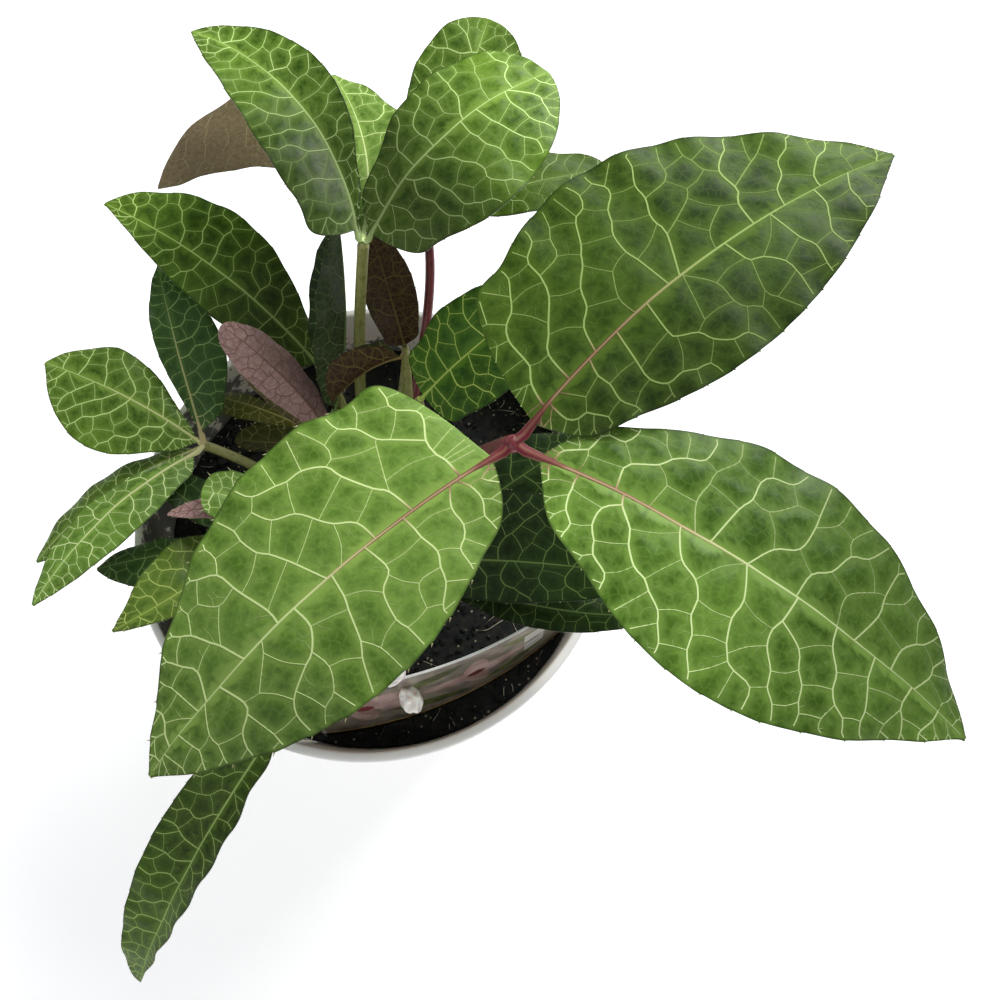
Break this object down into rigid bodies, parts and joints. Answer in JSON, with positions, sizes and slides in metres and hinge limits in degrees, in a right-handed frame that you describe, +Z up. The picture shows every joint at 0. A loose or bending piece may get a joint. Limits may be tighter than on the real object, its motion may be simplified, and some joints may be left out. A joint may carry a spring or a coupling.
{
  "type": "potted hellebore",
  "caption": "Evergreen perennial with marbled, divided, leathery leaves on slender stalks, rooted in peat in a round plastic nursery pot with a picture card.",
  "frame": {"origin": "centre of the underside of the pot, on the surface it stands on", "axes": "+Z up, along the pot's axis; -Y towards the front, where the picture card stands"},
  "size_m": [0.2669, 0.3119, 0.2939],
  "materials": {
    "pot": "satin white",
    "soil": "moist peat",
    "crown": "rough, fibrous",
    "card": "satin, printed on one side",
    "glue": "glossy, translucent white",
    "green_leaf": "satin, mid green with pale veins",
    "dark_leaf": "satin, dark green with pale veins",
    "bright_leaf": "satin, yellow-green with pale veins",
    "young_leaf": "satin, bronze to mauve",
    "petiole": "satin, olive green",
    "red_petiole": "satin, purple-red"
  },
  "bodies": {
    "root": {"back_leaf_left_leaflet": "green_leaf", "back_leaf_middle_leaflet": "green_leaf", "back_leaf_petiole": "petiole", "back_leaf_right_leaflet": "green_leaf", "bronze_leaf_cupped_leaflet": "young_leaf", "bronze_leaf_mauve_leaflet": "young_leaf", "bronze_leaf_olive_leaflet": "young_leaf", "bronze_leaf_petiole": "petiole", "bronze_leaf_strap_leaflet": "young_leaf", "crown": "crown", "curled_leaf_only_leaflet": "young_leaf", "curled_leaf_petiole": "petiole", "drooping_leaf_only_leaflet": "dark_leaf", "drooping_leaf_petiole": "petiole", "front_leaf_back_leaflet": "green_leaf", "front_leaf_left_leaflet": "green_leaf", "front_leaf_petiole": "red_petiole", "front_leaf_right_leaflet": "green_leaf", "inner_leaf_back_leaflet": "dark_leaf", "inner_leaf_front_leaflet": "dark_leaf", "inner_leaf_middle_leaflet": "dark_leaf", "inner_leaf_petiole": "petiole", "left_leaf_lower_leaflet": "green_leaf", "left_leaf_outer_leaflet": "green_leaf", "left_leaf_petiole": "petiole", "left_leaf_rolled_leaflet": "green_leaf", "left_leaf_upper_leaflet": "green_leaf", "low_leaf_lower_leaflet": "bright_leaf", "low_leaf_middle_leaflet": "bright_leaf", "low_leaf_petiole": "petiole", "low_leaf_upper_leaflet": "bright_leaf", "lower_glue_dab": "glue", "picture_card": "card", "pot": "pot", "rear_leaf_left_leaflet": "green_leaf", "rear_leaf_middle_leaflet": "green_leaf", "rear_leaf_petiole": "red_petiole", "rear_leaf_right_leaflet": "green_leaf", "side_leaf_outer_leaflet": "dark_leaf", "side_leaf_petiole": "petiole", "soil": "soil", "sunlit_leaf_back_leaflet": "bright_leaf", "sunlit_leaf_petiole": "petiole", "toothed_leaf_petiole": "petiole", "toothed_leaf_pink_leaflet": "young_leaf", "toothed_leaf_upper_leaflet": "young_leaf", "upper_glue_dab": "glue", "upright_leaf_folded_leaflet": "dark_leaf", "upright_leaf_petiole": "petiole", "young_leaf_petiole": "petiole", "young_leaf_upright_leaflet": "young_leaf"}
  },
  "joints": []
}
